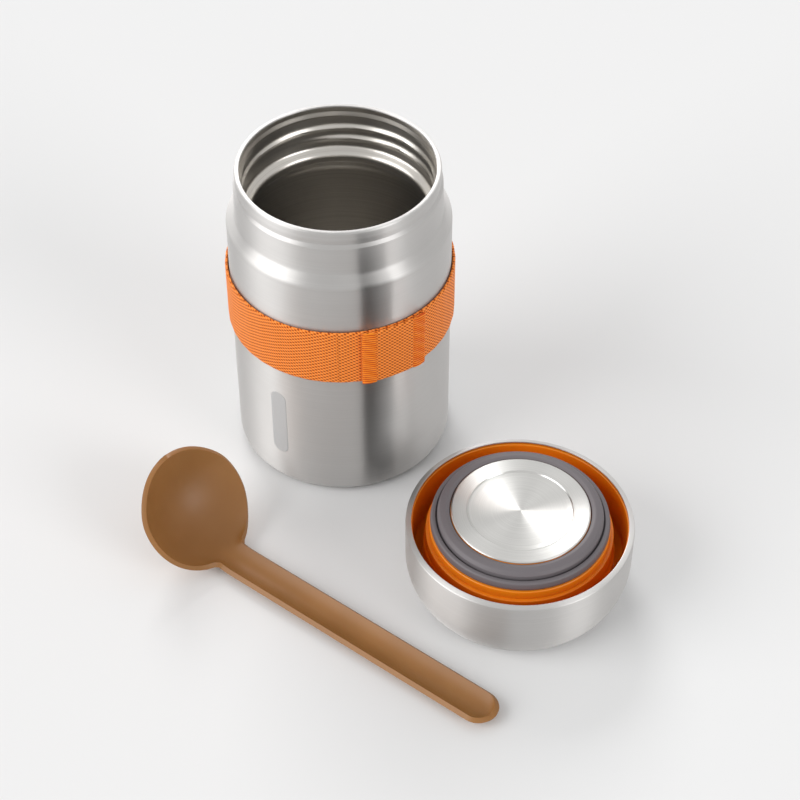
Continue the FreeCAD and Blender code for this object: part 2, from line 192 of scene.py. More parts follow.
@dataclass(frozen=True)
class BrushedSteel:
    """Stainless steel 18/8, turned and brushed: fine rings round the axis stretch each
    highlight up and down, and faint streaks keep it from looking like chrome."""

    name: str = "stainless_steel_brushed"
    colour: str = "c9c7c5"
    streak_colour: str = "c4c2c0"
    roughness: float = 0.46
    stretch: float = 0.9
    stretch_turn: float = 0.25
    line_mm: float = 0.35
    cloud_mm: float = 18.0
    gloss_spread: tuple[float, float] = (0.9, 1.12)
    relief: float = 0.01
    relief_mm: float = 0.02
    spin: Spin = Spin.AROUND

    def make(self) -> bpy.types.Material:
        """Build the material."""
        material, tree = new_tree(self.name)
        place = add_node(tree, "UVMap", {"uv_map": "turned"})
        lines = add_node(tree, "Mapping", {"Scale": (2.0, 1 / (self.line_mm * MM), 1.0)},
                         {"Vector": place.outputs["UV"]})
        streak = add_node(tree, "TexNoise", {"Scale": 1.0, "Detail": 3.0, "Roughness": 0.6},
                          {"Vector": lines.outputs["Vector"]})
        tone = colour_ramp(tree, streak.outputs["Fac"],
                           [(0.3, self.streak_colour), (0.7, self.colour)])
        spots = add_node(tree, "TexCoord")
        cloud = mottle(tree, spots.outputs["Object"], self.cloud_mm)
        rough = gloss_range(tree, cloud, self.roughness, self.gloss_spread)
        bump = add_node(tree, "Bump", {"Strength": self.relief, "Distance": self.relief_mm * MM},
                        {"Height": streak.outputs["Fac"]})
        shader = add_node(tree, "BsdfPrincipled", {"Metallic": 1.0},
                          {"Base Color": tone, "Roughness": rough,
                           "Normal": bump.outputs["Normal"]})
        if self.spin is Spin.AROUND:
            shader.inputs["Anisotropic"].default_value = self.stretch
            shader.inputs["Anisotropic Rotation"].default_value = self.stretch_turn
            tangent = add_node(tree, "Tangent", {"direction_type": "UV_MAP", "uv_map": "turned"})
            tree.links.new(tangent.outputs["Tangent"], shader.inputs["Tangent"])
        finish_tree(tree, shader)
        return material


@dataclass(frozen=True)
class MouldedPlastic:
    """Injection-moulded plastic, such as polypropylene or ABS: even colour, a soft sheen
    from the mould's fine texture, and slightly deeper colour where it is thin."""

    name: str
    colour: str
    shade_colour: str
    roughness: float = 0.4
    grain_mm: float = 0.5
    relief: float = 0.05
    glow: float = 0.0
    glow_mm: float = 1.5
    cloud_mm: float = 30.0
    gloss_spread: tuple[float, float] = (0.88, 1.15)
    relief_mm: float = 0.06

    def make(self) -> bpy.types.Material:
        """Build the material."""
        material, tree = new_tree(self.name)
        place = add_node(tree, "TexCoord")
        cloud = mottle(tree, place.outputs["Object"], self.cloud_mm, 3.0)
        tone = colour_ramp(tree, cloud, [(0.3, self.shade_colour), (0.7, self.colour)])
        grain = mottle(tree, place.outputs["Object"], self.grain_mm)
        rough = gloss_range(tree, grain, self.roughness, self.gloss_spread)
        bump = add_node(tree, "Bump", {"Strength": self.relief, "Distance": self.relief_mm * MM},
                        {"Height": grain})
        shader = add_node(tree, "BsdfPrincipled",
                          {"Subsurface Weight": self.glow,
                           "Subsurface Scale": self.glow_mm * MM},
                          {"Base Color": tone, "Roughness": rough,
                           "Normal": bump.outputs["Normal"]})
        finish_tree(tree, shader)
        return material


@dataclass(frozen=True)
class WovenWebbing:
    """Polyester elastic webbing, woven: short raised threads stand in slanted, staggered
    rows, with painted shade in the gaps between them and a painted highlight on their tops,
    which read as fine dashes from a step away."""

    name: str = "polyester_elastic_webbing"
    thread: str = "f07c20"
    # The lit thread colour is a painted highlight on the thread tops; the gap colour is painted
    # shade between the threads.
    lit_thread: str = "ff9c48"
    gap: str = "8f3a04"
    rib_mm: float = 2.1
    row_mm: float = 1.5
    slant: float = 0.32
    fuzz_mm: float = 0.4
    fuzz: float = 0.3
    wave_reach: float = 0.85
    relief: float = 0.9
    relief_mm: float = 0.22

    def make(self) -> bpy.types.Material:
        """Build the material."""
        material, tree = new_tree(self.name)
        place = add_node(tree, "UVMap", {"uv_map": "cloth"})
        split = add_node(tree, "SeparateXYZ", links={"Vector": place.outputs["UV"]})
        lean = add_node(tree, "Math", {"operation": "MULTIPLY", 1: self.slant},
                        {0: split.outputs["X"]})
        across = add_node(tree, "Math", {"operation": "ADD"},
                          {0: split.outputs["Y"], 1: lean.outputs[0]})
        both = add_node(tree, "Math", {"operation": "MULTIPLY"},
                        {0: sine_wave(tree, split.outputs["X"], self.rib_mm),
                         1: sine_wave(tree, across.outputs[0], self.row_mm)})
        height = add_node(tree, "MapRange", {"From Min": -self.wave_reach,
                                             "From Max": self.wave_reach},
                          {"Value": both.outputs[0]})
        fuzz = mottle(tree, place.outputs["UV"], self.fuzz_mm)
        fuzzed_height = add_node(tree, "Math", {"operation": "MULTIPLY_ADD", 1: self.fuzz},
                        {0: fuzz, 2: height.outputs["Result"]})
        # The ramp paints shade into the low gaps and a highlight onto the high thread tops.
        tone = colour_ramp(tree, fuzzed_height.outputs[0],
                           [(0.2, self.gap), (0.58, self.thread), (1.0, self.lit_thread)])
        bump = add_node(tree, "Bump", {"Strength": self.relief, "Distance": self.relief_mm * MM},
                        {"Height": fuzzed_height.outputs[0]})
        shader = add_node(tree, "BsdfPrincipled",
                          {"Roughness": 0.7, "Sheen Weight": 0.1, "Sheen Roughness": 0.4,
                           "Specular IOR Level": 0.25},
                          {"Base Color": tone, "Normal": bump.outputs["Normal"]})
        finish_tree(tree, shader)
        return material


@dataclass(frozen=True)
class SewingThread:
    """Polyester sewing thread, packed in a bar tack: fuzzy cords side by side, each with
    a painted highlight along its crown and painted shade down at its root, so that the bar
    looks mottled."""

    name: str = "polyester_thread_tack"
    # The crown colour is a painted highlight along each cord's top; the root colour is painted shade
    # between the cords.
    crown: str = "ff9526"
    shaded_root: str = "d95200"
    pitch_mm: float = 1.05
    slant: float = 0.12
    fuzz_mm: float = 0.5
    fuzz: float = 0.8
    relief: float = 0.7
    relief_mm: float = 0.18

    def make(self) -> bpy.types.Material:
        """Build the material."""
        material, tree = new_tree(self.name)
        place = add_node(tree, "UVMap", {"uv_map": "cloth"})
        split = add_node(tree, "SeparateXYZ", links={"Vector": place.outputs["UV"]})
        lean = add_node(tree, "Math", {"operation": "MULTIPLY_ADD", 1: self.slant},
                        {0: split.outputs["X"], 2: split.outputs["Y"]})
        wave = sine_wave(tree, lean.outputs[0], self.pitch_mm)
        fuzz = mottle(tree, place.outputs["UV"], self.fuzz_mm, 3.0)
        height = add_node(tree, "Math", {"operation": "MULTIPLY_ADD", 1: self.fuzz},
                          {0: fuzz, 2: wave})
        # The ramp paints shade at the cords' roots and a highlight along their crowns.
        tone = colour_ramp(tree, height.outputs[0], [(0.0, self.shaded_root), (1.0, self.crown)])
        bump = add_node(tree, "Bump", {"Strength": self.relief, "Distance": self.relief_mm * MM},
                        {"Height": height.outputs[0]})
        shader = add_node(tree, "BsdfPrincipled",
                          {"Roughness": 0.5, "Specular IOR Level": 0.3},
                          {"Base Color": tone, "Normal": bump.outputs["Normal"]})
        finish_tree(tree, shader)
        return material


@dataclass(frozen=True)
class EtchedPatch:
    """Laser-etched steel: the etch leaves a flat, dull grey without rings."""

    name: str = "stainless_steel_etched"
    colour: str = "c6c6c6"
    shade_colour: str = "bebebe"
    grain_mm: float = 0.25
    metal: float = 0.35
    roughness: float = 0.7

    def make(self) -> bpy.types.Material:
        """Build the material."""
        material, tree = new_tree(self.name)
        place = add_node(tree, "TexCoord")
        grain = mottle(tree, place.outputs["Object"], self.grain_mm)
        tone = colour_ramp(tree, grain, [(0.2, self.shade_colour), (0.8, self.colour)])
        shader = add_node(tree, "BsdfPrincipled",
                          {"Metallic": self.metal, "Roughness": self.roughness},
                          {"Base Color": tone})
        finish_tree(tree, shader)
        return material


def rounded_outline(corners: list[Corner], steps: int = 7) -> np.ndarray:
    """Round the corners of a closed outline.

    Each corner (radius, height, round) is cut back along both its sides by round / tan(half
    its angle), at most to the middle of the shorter side, and an arc that touches both
    sides there closes the gap.

    Args:
        corners: radius, height and rounding in millimetres.
        steps: points on each rounded corner.

    Returns:
        An array of (radius, height) rows.
    """
    places = np.array([c[:2] for c in corners], dtype=float)
    count = len(corners)
    rows = []
    for i, (_, _, round_mm) in enumerate(corners):
        here, before, after = places[i], places[i - 1], places[(i + 1) % count]
        back, ahead = before - here, after - here
        back_len, ahead_len = np.linalg.norm(back), np.linalg.norm(ahead)
        if round_mm <= 0 or min(back_len, ahead_len) < 1e-6:
            rows.append(here[None])
            continue
        back, ahead = back / back_len, ahead / ahead_len
        half = math.acos(np.clip(back @ ahead, -0.9999, 0.9999)) / 2
        cut = min(round_mm / math.tan(half), 0.49 * back_len, 0.49 * ahead_len)
        radius = cut * math.tan(half)
        centre = here + (back + ahead) / np.linalg.norm(back + ahead) * (radius / math.sin(half))
        first, last = here + back * cut - centre, here + ahead * cut - centre
        start = math.atan2(first[1], first[0])
        sweep = (math.atan2(last[1], last[0]) - start + math.pi) % TURN - math.pi
        angles = start + sweep * np.linspace(0, 1, steps)
        rows.append(centre + radius * np.stack([np.cos(angles), np.sin(angles)], 1))
    return np.concatenate(rows)


def split_runs(points: np.ndarray, longest: float) -> np.ndarray:
    """Divide the long sides of a closed outline so that no side is over a length.

    Args:
        points: (radius, height) rows in millimetres.
        longest: the longest side to leave.

    Returns:
        The outline with the extra points.
    """
    ends = np.roll(points, -1, axis=0)
    rows = []
    for start, end in zip(points, ends):
        parts = max(1, int(np.linalg.norm(end - start) / longest))
        rows.append(start + (end - start) * np.arange(parts)[:, None] / parts)
    return np.concatenate(rows)


def eased(length: np.ndarray, start: float, end: float) -> np.ndarray:
    """A smooth step from 0 at start to 1 at end.

    Args:
        length: where the step is read.
        start: the last place that gives 0.
        end: the first place that gives 1.

    Returns:
        The step's height at each place.
    """
    share = np.clip((length - start) / (end - start), 0, 1)
    return share * share * (3 - 2 * share)


def add_object(name: str, data: bpy.types.ID) -> bpy.types.Object:
    """Put a mesh, a lamp or a camera into the scene, unmoved."""
    new = bpy.data.objects.new(name, data)
    bpy.context.scene.collection.objects.link(new)
    return new


def coat(piece: bpy.types.Object, material: bpy.types.Material) -> None:
    """Give a piece one finish in place of any it had."""
    piece.data.materials.clear()
    piece.data.materials.append(material)


def quads(*corners: np.ndarray) -> np.ndarray:
    """Rows of four point numbers from four arrays, one for each corner of a face."""
    return np.stack([c.ravel() for c in corners], -1)


def make_mesh(name: str, points: np.ndarray, faces: np.ndarray,
              uvs: dict[str, np.ndarray] | None = None) -> bpy.types.Object:
    """Put arrays into a mesh object that sits at the origin.

    Args:
        name: the piece's name.
        points: rows of x, y, z in metres.
        faces: rows of four point numbers.
        uvs: UV map names to rows of u, v, one for each face corner.

    Returns:
        The new object, linked to the scene.
    """
    mesh = bpy.data.meshes.new(name)
    mesh.from_pydata(points.tolist(), [], faces.tolist())
    for title, rows in (uvs or {}).items():
        layer = mesh.uv_layers.new(name=title)
        layer.data.foreach_set("uv", rows.astype(np.float32).ravel())
    mesh.update()
    mesh.shade_smooth()
    return add_object(name, mesh)


def smooth_by_angle(piece: bpy.types.Object, degrees: float = 32.0) -> None:
    """Keep edges sharper than an angle crisp, and smooth the rest."""
    piece.data.set_sharp_from_angle(angle=math.radians(degrees))


def weld(piece: bpy.types.Object, distance: float = 0.002) -> None:
    """Merge points that lie together, such as a seam or a pole, within millimetres."""
    work = bmesh.new()
    work.from_mesh(piece.data)
    bmesh.ops.remove_doubles(work, verts=work.verts, dist=distance * MM)
    bmesh.ops.recalc_face_normals(work, faces=work.faces)
    work.to_mesh(piece.data)
    work.free()


def turned_shell(name: str, outline: np.ndarray, centre: tuple[float, float] = (0.0, 0.0),
                 segments: int = 160, wave: Wave | None = None) -> bpy.types.Object:
    """A surface of revolution: each outline point (r, z) goes to (r cos a, r sin a, z).

    Args:
        name: the piece's name.
        outline: closed (radius, height) rows in millimetres.
        centre: the axis's x and y in millimetres.
        segments: how many steps go round.
        wave: a function of (angle, radius, height) arrays that gives a radius to add.

    Returns:
        The piece, with a UV map named turned: angle in turns, and the way along the
        outline in metres.
    """
    count = len(outline)
    angle = np.linspace(0, TURN, segments, endpoint=False)
    radius = np.repeat(outline[:, 0][None], segments, 0)
    height = np.repeat(outline[:, 1][None], segments, 0)
    turn = np.repeat(angle[:, None], count, 1)
    if wave is not None:
        radius = radius + wave(turn, radius, height)
    points = np.stack([centre[0] + radius * np.cos(turn), centre[1] + radius * np.sin(turn),
                       height], -1).reshape(-1, 3) * MM
    i, j = np.meshgrid(np.arange(segments), np.arange(count), indexing="ij")
    ni, nj = (i + 1) % segments, (j + 1) % count
    faces = np.stack([i * count + j, ni * count + j, ni * count + nj, i * count + nj], -1)
    sides = np.linalg.norm(np.roll(outline, -1, 0) - outline, axis=1)
    way = np.concatenate([[0.0], np.cumsum(sides)]) * MM
    u = np.stack([i, i + 1, i + 1, i], -1) / segments
    v = np.stack([way[j], way[j], way[j + 1], way[j + 1]], -1)
    keep = ~((outline[j, 0] < 1e-6) & (outline[nj, 0] < 1e-6))
    piece = make_mesh(name, points, faces[keep], {"turned": np.stack([u, v], -1)[keep]})
    weld(piece)
    smooth_by_angle(piece)
    return piece


def helical_ridge(angle: np.ndarray, height: np.ndarray, start: float, pitch: float,
                  turns: float, half: float, fade: float) -> np.ndarray:
    """How far a rolled thread stands out, from 0 to 1.

    It is exp(-((z - start - pitch n) / half)^2), with n the turns run since angle 0, and it
    comes and goes over 1 / fade of a turn at its ends.

    Args:
        angle: the turn of each point in radians.
        height: the height of each point in millimetres.
        start: the height at which the thread begins.
        pitch: its rise in one turn, negative where it runs down.
        turns: how many turns it has.
        half: half its width in millimetres.
        fade: how fast it comes and goes.

    Returns:
        The ridge at each point.
    """
    ridge = np.zeros_like(height)
    for lap in range(math.ceil(turns)):
        along = (angle % TURN) / TURN + lap
        ends = np.clip(along * fade, 0, 1) * np.clip((turns - along) * fade, 0, 1)
        line = start + pitch * along
        ridge = np.maximum(ridge, np.exp(-((height - line) / half) ** 2) * ends)
    return ridge


def arc_patch(name: str, turns: np.ndarray, heights: np.ndarray, radius: np.ndarray,
              thickness: np.ndarray) -> bpy.types.Object:
    """A closed plate bent round the jar: an outer skin, the same skin moved in, and rims.

    The outer skin is (radius sin t, -radius cos t, height), with t the turn from the front.

    Args:
        name: the piece's name.
        turns: angle of each column, in radians from the front towards +X.
        heights: height of each row in millimetres.
        radius: outer radius for each column and row.
        thickness: how far the inner skin lies below the outer one.

    Returns:
        The piece, with a UV map named cloth in metres along and across.
    """
    columns, rows = radius.shape
    turn = np.repeat(turns[:, None], rows, 1)
    height = np.repeat(heights[None], columns, 0)
    skins = []
    for reach in (radius, radius - thickness):
        skins.append(np.stack([reach * np.sin(turn), -reach * np.cos(turn), height], -1))
    points = np.concatenate([s.reshape(-1, 3) for s in skins]) * MM
    number = np.arange(columns * rows).reshape(columns, rows)
    inner = number + columns * rows
    mean = float(radius.mean())
    spot = np.stack([turn * mean, height], -1) * MM

    def corner_uv(*corners: np.ndarray) -> np.ndarray:
        """The UV places of faces from those of their corners."""
        return np.stack([c.reshape(-1, 2) for c in corners], 1)

    faces = [quads(*(number[c] for c in CELL)), quads(*(inner[c] for c in CELL[::-1]))]
    uvs = [corner_uv(*(spot[c] for c in CELL)), corner_uv(*(spot[c] for c in CELL[::-1]))]
    rims = ((np.s_[:-1, 0], np.s_[1:, 0]), (np.s_[1:, -1], np.s_[:-1, -1]),
            (np.s_[0, 1:], np.s_[0, :-1]), (np.s_[-1, :-1], np.s_[-1, 1:]))
    for a, b in rims:
        faces.append(quads(inner[a], inner[b], number[b], number[a]))
        uvs.append(corner_uv(spot[a], spot[b], spot[b], spot[a]))
    piece = make_mesh(name, points, np.concatenate(faces), {"cloth": np.concatenate(uvs)})
    weld(piece, 0.0005)
    smooth_by_angle(piece, 50.0)
    return piece


def dress(piece: bpy.types.Object, material: bpy.types.Material, body: Body, slot: str,
          *nodes: str) -> bpy.types.Object:
    """Give a piece its finish and its body, and hide the CAD nodes it stands for.

    Args:
        piece: the finished mesh.
        material: its finish.
        body: the body it rides on.
        slot: the record's material slot; not used.
        nodes: the CAD nodes that it replaces.

    Returns:
        The same piece.
    """
    coat(piece, material)
    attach(piece, body.value)
    if nodes:
        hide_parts(*nodes)
    LOG.info("%s: %d points on %s", piece.name, len(piece.data.vertices), body.value)
    return piece


@dataclass
class Jar:
    """The double-walled jar: skin, food wall, cup and base."""

    body_radius: float = 42.0
    rim_height: float = 129.0
    steel: float = 0.6
    foot_round: float = 8.0
    foot_flat: float = 1.6
    shoulder_height: float = 105.4
    shoulder_foot: float = 1.2
    shoulder_head: float = 4.9
    neck_radius: float = 38.5
    lip_radius: float = 37.9
    lip_wall: float = 1.0
    lip_drop: float = 7.0
    bead_drops: tuple[float, float, float, float] = (6.9, 5.6, 4.2, 3.2)
    bead_dip: float = 0.35
    mouth_radius: float = 36.0
    thread_depth: float = 0.9
    thread_pitch: float = 5.0
    thread_drop: float = 5.6
    thread_turns: float = 1.9
    thread_half: float = 0.95
    thread_fade: float = 14.0
    thread_begin: float = 152.0
    ledge_depth: float = 19.0
    throat_radius: float = 32.8
    throat_drop: float = 3.2
    throat_land: float = 1.4
    throat_foot: float = 1.6
    throat_flare: float = 7.6
    vacuum_gap: float = 3.0
    vessel_floor: float = 10.0
    vessel_round: float = 9.0
    cup_top: float = 24.0
    base_recess: float = 1.6
    base_sheet: float = 0.8
    base_clearance: float = 0.8
    ring_places: tuple[float, float, float, float] = (0.55, 0.57, 0.61, 0.63)
    ring_rise: float = 0.3
    pill_width: float = 7.0
    pill_height: float = 32.0
    pill_middle: float = 31.8
    pill_turn: float = -0.60
    pill_lift: float = 0.035
    pill_depth: float = 0.03

    def skin(self) -> bpy.types.Object:
        """The drawn outer skin, from the rolled lip to the foot."""
        r, top, t = self.body_radius, self.rim_height, self.steel
        shoulder, neck, lip = self.shoulder_height, self.neck_radius, self.lip_radius
        foot_in = r - self.foot_round - self.foot_flat
        crease, dip, crest, fold = (top - drop for drop in self.bead_drops)
        lip_in, mouth = lip - self.lip_wall, self.mouth_radius + 0.05
        outline = rounded_outline([
            (foot_in, 0, 0.15), (r, 0, self.foot_round), (r, shoulder + self.shoulder_foot, 2.6),
            (neck + 0.2, shoulder + self.shoulder_head, 2.2), (neck, crease, 0.6),
            (lip - self.bead_dip, dip, 0.5), (lip - 0.1, crest, 0.6), (lip, fold, 0.8),
            (lip - 0.05, top, 1.5), (mouth, top, 0.35),
            (mouth, top - t, 0.05), (lip_in, top - t, 0.3),
            (lip_in, top - self.lip_drop, 0.3), (neck - t, top - self.lip_drop - 1, 0.5),
            (neck - t, shoulder + self.shoulder_head - t / 2, 2.0),
            (r - t, shoulder + self.shoulder_foot - t / 3, 2.2),
            (r - t, t, self.foot_round - t), (foot_in, t, 0.05),
        ], 9)
        return turned_shell("outer_skin", split_runs(outline, 8.0), segments=192)

    def food_wall(self) -> bpy.types.Object:
        """The inner wall, with a rolled helical thread.

        The thread is the helical ridge, pressed inward below the rim and above the ledge.
        """
        top, t, mouth = self.rim_height, self.steel, self.mouth_radius
        ledge = top - self.ledge_depth
        throat = ledge - self.throat_drop
        wide = self.body_radius - 2 * t - self.vacuum_gap
        land, foot, flare = self.throat_land, self.throat_foot, self.throat_flare
        slim, high = self.throat_radius, self.cup_top
        inner = rounded_outline([
            (mouth, top - t, 0.0), (mouth + 0.35, top - 2.6, 0.8), (mouth - 0.1, top - 4.4, 0.5),
            (mouth, top - 5.2, 0.4), (mouth, ledge, 1.6), (slim, throat + land, 2.2),
            (slim, throat - foot, 1.2), (wide, throat - flare, 5.0), (wide, high, 0.0),
            (wide + t, high, 0.0), (wide + t, throat - flare + t, 5.0),
            (slim + t, throat - foot + 0.4, 1.2), (slim + t, throat + land - t, 2.0),
            (mouth + t, ledge - 0.8, 1.6), (mouth + t, top - t, 0.0),
        ], 7)
        fine = split_runs(inner, 0.45)

        def thread(angle: np.ndarray, radius: np.ndarray, height: np.ndarray) -> np.ndarray:
            """The thread's inward ridge on the mouth's inner face."""
            inside = (radius < mouth + 0.2) & (height > ledge + 1.0)
            ridge = helical_ridge(angle - math.radians(self.thread_begin), height,
                                  top - self.thread_drop, -self.thread_pitch,
                                  self.thread_turns, self.thread_half, self.thread_fade)
            return -self.thread_depth * ridge * inside

        return turned_shell("food_wall", fine, segments=256, wave=thread)

    def food_cup(self) -> bpy.types.Object:
        """The drawn cup that closes the food space, with a soft inner corner."""
        t, floor = self.steel, self.vessel_floor
        wide = self.body_radius - 2 * t - self.vacuum_gap
        outline = rounded_outline([
            (0, floor, 0), (wide, floor, self.vessel_round), (wide, self.cup_top, 0),
            (wide + t, self.cup_top, 0), (wide + t, floor - t, self.vessel_round + t),
            (0, floor - t, 0)], 12)
        return turned_shell("food_cup", split_runs(outline, 3.0), segments=160)

    def base_plate(self) -> bpy.types.Object:
        """The recessed cover plate under the foot, with a shallow pressed ring."""
        edge = self.body_radius - self.foot_round - self.foot_flat - self.base_clearance
        low, up = self.base_recess * 0.35, self.base_recess
        sheet, raised = self.base_sheet, up + self.ring_rise
        rise, crest, fall, end = (edge * share for share in self.ring_places)
        outline = rounded_outline([
            (0, up, 0), (rise, up, 0.4), (crest, raised, 0.4),
            (fall, raised, 0.4), (end, up, 0.4), (edge - 3.4, up, 1.0),
            (edge - 1.6, low, 0.8), (edge, low, 0.1), (edge, low + sheet * 0.55, 0.1),
            (edge - 1.4, low + sheet * 0.55, 0.8), (edge - 3.2, up + sheet, 1.0),
            (0, up + sheet, 0)], 6)
        return turned_shell("base_plate", split_runs(outline, 3.0), segments=160)

    def etched_pill(self) -> bpy.types.Object:
        """A bare grey pill etched on the wall: a plain rounded bar without lettering.

        Each row of the bar runs between the two arcs that close its ends, so the half
        width at height h is w sqrt(1 - d^2), with d how far h is into an end in widths.
        """
        width, tall = self.pill_width, self.pill_height
        rows = np.sin(np.linspace(-np.pi / 2, np.pi / 2, 61)) * tall / 2
        into = np.clip((np.abs(rows) - (tall / 2 - width / 2)) / (width / 2), 0, 1)
        half = np.maximum(width / 2 * np.sqrt(1 - into ** 2), 0.02)
        across = np.linspace(-1, 1, 13)
        reach = self.body_radius + self.pill_lift
        angle = self.pill_turn + across[:, None] * half[None] / self.body_radius
        high = np.repeat((self.pill_middle + rows)[None], len(across), 0)
        front = np.stack([reach * np.sin(angle), -reach * np.cos(angle), high], -1)
        number = np.arange(len(across) * len(rows)).reshape(len(across), len(rows))
        faces = quads(*(number[c] for c in CELL))
        piece = make_mesh("etched_pill", front.reshape(-1, 3) * MM, faces)
        shell = piece.modifiers.new("depth", "SOLIDIFY")
        shell.thickness = self.pill_depth * MM
        shell.offset = -1
        return piece

    def build(self, brushed: bpy.types.Material, inside: bpy.types.Material,
              etched: bpy.types.Material) -> None:
        """Make and dress the jar's pieces."""
        dress(self.skin(), brushed, Body.JAR, "steel_brushed", "outer_shell")
        dress(self.food_wall(), inside, Body.JAR, "steel_inside", "inner_vessel")
        dress(self.food_cup(), inside, Body.JAR, "steel_inside", "inner_bottom")
        dress(self.base_plate(), brushed, Body.JAR, "steel_brushed", "base_cover")
        dress(self.etched_pill(), etched, Body.JAR, "steel_brushed")


@dataclass
class Strap:
    """The elastic webbing with its stitched spoon loop."""

    wall_radius: float = 42.0
    gap: float = 0.3
    thick: float = 1.2
    bottom: float = 61.2
    width: float = 25.0
    tack_width: float = 5.2
    tack_thick: float = 0.5
    left_turn: float = 14.8
    right_turn: float = 41.8
    edge_round: float = 0.7
    ripple: float = 0.05
    sag: float = 0.10
    cord_pitch: float = 1.05
    cord_lean: float = 0.35
    cord_rise: float = 0.2
    fuzz_rise: float = 0.05
    shoulder_from: float = 0.72
    shoulder_drop: float = 0.28

    def edge_heights(self, rows: int) -> np.ndarray:
        """Row heights, closer together at both edges of the webbing."""
        return self.bottom + self.width * (1 - np.cos(np.linspace(0, np.pi, rows))) / 2

    def rounded_edge(self, heights: np.ndarray, drop: float) -> np.ndarray:
        """How far the skin falls back towards both edges of the webbing.

        Args:
            heights: row heights in millimetres.
            drop: the fall at the very edge.

        Returns:
            The fall of each row, drop (1 - s / round)^2 at a distance s from the edge.
        """
        side = np.minimum(heights - self.bottom, self.bottom + self.width - heights)
        return drop * (1 - np.clip(side / self.edge_round, 0, 1)) ** 2

    def webbing(self, name: str, start: float, end: float, reach: float, columns: int,
                rows: int) -> bpy.types.Object:
        """A length of webbing: its skin thins to the middle of its thickness at each edge.

        Args:
            name: the piece's name.
            start: first turn in degrees from the front.
            end: last turn in degrees.
            reach: outer radius in millimetres.
            columns: points along.
            rows: points across.

        Returns:
            The webbing as a closed mesh.
        """
        turns = np.radians(np.linspace(start, end, columns))
        heights = self.edge_heights(rows)
        round_off = self.rounded_edge(heights, 0.5)
        ripple = self.ripple * np.sin(turns * 41)[:, None] * np.ones(rows)
        radius = reach - round_off[None] + ripple - 0.05
        thickness = np.repeat((self.thick - 2 * round_off)[None], columns, 0) - 0.1 + ripple
        return arc_patch(name, turns, heights, radius, thickness)

    def loop(self, start: float, end: float, reach: float) -> bpy.types.Object:
        """The outer layer between the tacks, which bulges a little where nothing holds it."""
        columns, rows = 90, 34
        turns = np.radians(np.linspace(start, end, columns))
        heights = self.edge_heights(rows)
        share = np.linspace(0, 1, columns)
        round_off = self.rounded_edge(heights, 0.45)
        sag = self.sag * np.sin(share * np.pi * 3) * np.sin(share * np.pi)
        radius = reach - 0.12 + sag[:, None] - round_off[None]
        thickness = np.full((columns, rows), self.thick - 0.2) - 2 * round_off[None]
        return arc_patch("strap_loop_layer", turns, heights, radius, thickness)

    def tack(self, name: str, turn: float, reach: float) -> bpy.types.Object:
        """A bar tack: rows of packed thread, each a ridge |sin| across the bar's height.

        Args:
            name: the piece's name.
            turn: the bar's middle in degrees from the front.
            reach: the radius of the cloth that it is sewn on.

        Returns:
            The bar as a closed mesh.
        """
        half = math.degrees(self.tack_width / 2 / self.wall_radius)
        columns, rows = 22, 300
        turns = np.radians(np.linspace(turn - half, turn + half, columns))
        heights = np.linspace(self.bottom + 0.15, self.bottom + self.width - 0.15, rows)
        across = np.linspace(-1, 1, columns)
        phase = (heights[None] + across[:, None] * self.cord_lean) / self.cord_pitch * np.pi
        fuzz = np.sin(7.3 * heights[None] + 5 * across[:, None])
        ridge = self.cord_rise * np.abs(np.sin(phase)) + self.fuzz_rise * fuzz
        past = np.clip(np.abs(across) - self.shoulder_from, 0, 1)[:, None]
        shoulder = self.shoulder_drop * past / (1 - self.shoulder_from)
        radius = reach + self.tack_thick * 0.55 + ridge - shoulder
        thickness = radius - (reach - 0.3)
        return arc_patch(name, turns, heights, radius, thickness)

    def build(self, webbing: bpy.types.Material, thread: bpy.types.Material) -> None:
        """Make and dress the strap's pieces."""
        inner = self.wall_radius + self.gap
        outer = inner + self.thick
        half = math.degrees(self.tack_width / 2 / self.wall_radius)
        band = self.webbing("strap_webbing", 0.0, 360.0, outer, 361, 26)
        dress(band, webbing, Body.STRAP, "webbing", "strap_band")
        loop = self.loop(self.left_turn - half, self.right_turn + half, outer + self.thick)
        dress(loop, webbing, Body.STRAP, "webbing", "strap_loop")
        for side, turn in (("left", self.left_turn), ("right", self.right_turn)):
            bar = self.tack("tack_" + side, turn, outer + self.thick - 0.1)
            dress(bar, thread, Body.STRAP, "stitching", "bar_tack_" + side)


